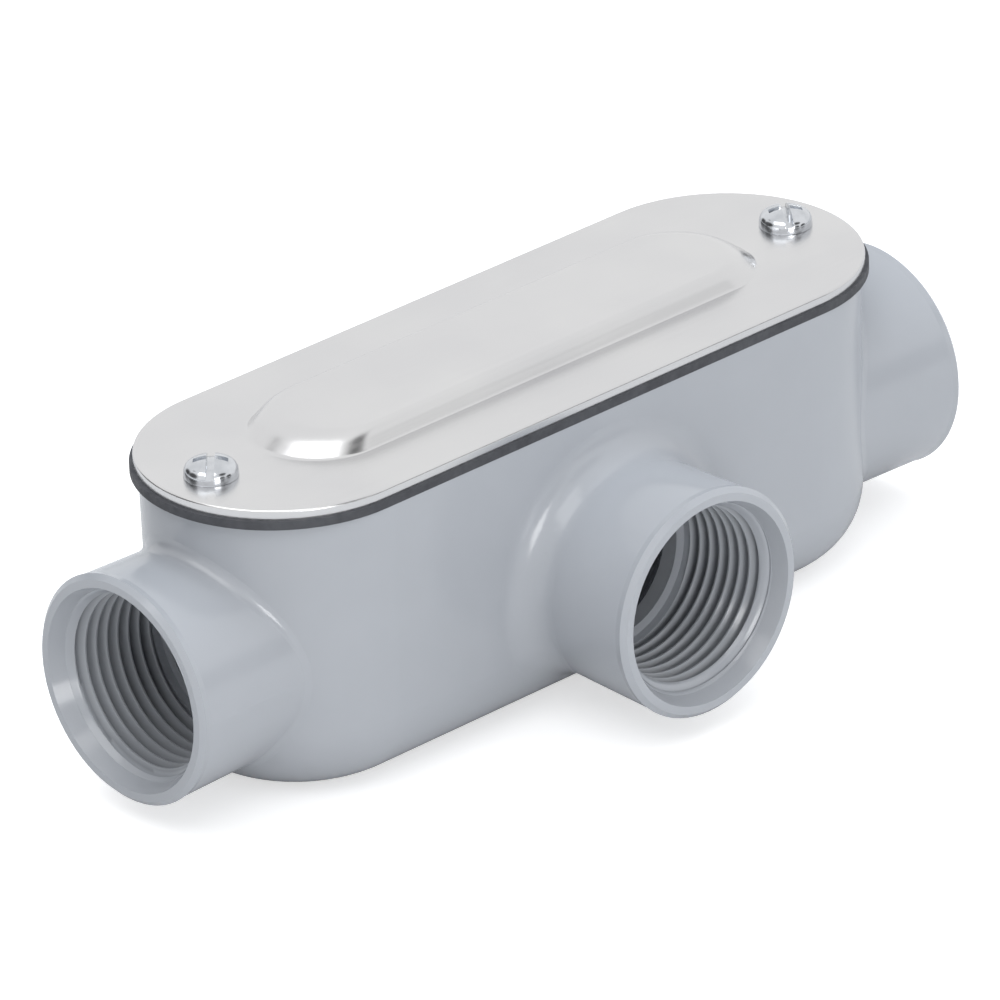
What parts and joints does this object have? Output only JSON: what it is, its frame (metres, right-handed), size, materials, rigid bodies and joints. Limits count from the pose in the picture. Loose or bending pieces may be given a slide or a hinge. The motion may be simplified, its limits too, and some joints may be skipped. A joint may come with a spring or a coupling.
{
  "type": "conduit body",
  "caption": "Type T conduit body: cast oblong housing with three internally threaded hubs, closed by a gasket and a stamped cover with two screws.",
  "frame": {"origin": "centre of the housing's flat base face", "axes": "+X along the housing and the two end hubs, +Z from the base towards the cover, side hub towards -Y"},
  "size_m": [0.1394, 0.0581, 0.0467],
  "materials": {
    "grey_paint": "satin",
    "gasket_rubber": "matte",
    "cover_metal": "satin",
    "screw_zinc": "polished"
  },
  "bodies": {
    "root": {"housing": "grey_paint", "gasket": "gasket_rubber", "cover": "cover_metal", "cover_screw_left": "screw_zinc", "cover_screw_right": "screw_zinc"}
  },
  "joints": []
}
